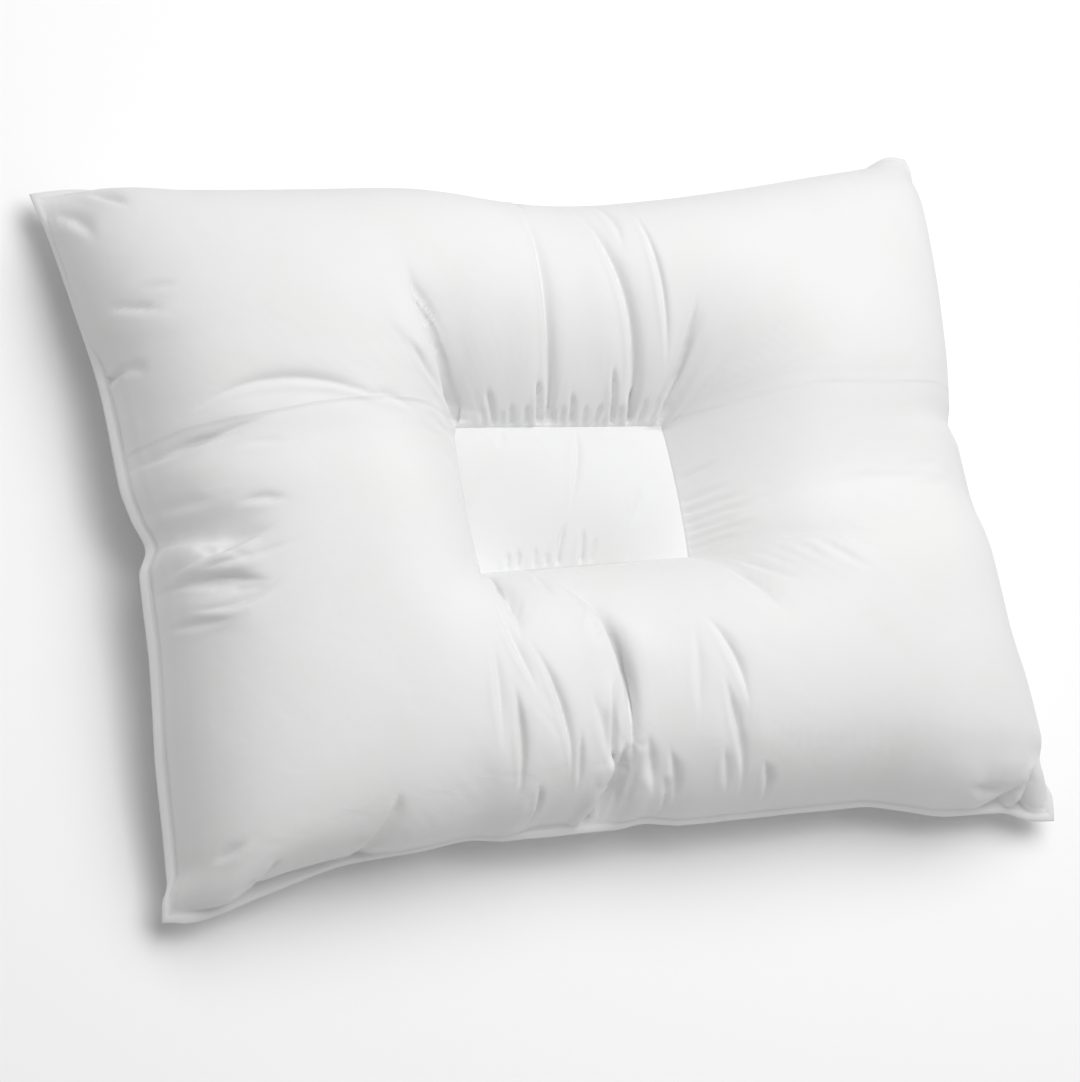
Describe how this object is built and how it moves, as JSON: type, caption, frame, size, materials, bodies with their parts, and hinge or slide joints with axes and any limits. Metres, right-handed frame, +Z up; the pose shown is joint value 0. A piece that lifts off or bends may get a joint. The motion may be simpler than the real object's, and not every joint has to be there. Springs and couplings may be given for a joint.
{
  "type": "orthopedic pillow",
  "caption": "Filled white cloth pillow with full lobes round a sunk, separately sewn rectangular centre panel for the head.",
  "frame": {"origin": "middle of the underside, on the plane that the pillow lies on", "axes": "+X along the pillow's width, +Y along its depth towards the back edge, +Z up through the centre panel"},
  "size_m": [0.66, 0.492, 0.126],
  "materials": {
    "cover_cloth": "fine plain-woven white cotton, soft matt with a faint sheen",
    "panel_cloth": "the same fine white cotton, stretched over the low pad"
  },
  "bodies": {
    "root": {"filled_cover": "cover_cloth", "centre_panel": "panel_cloth"}
  },
  "joints": []
}
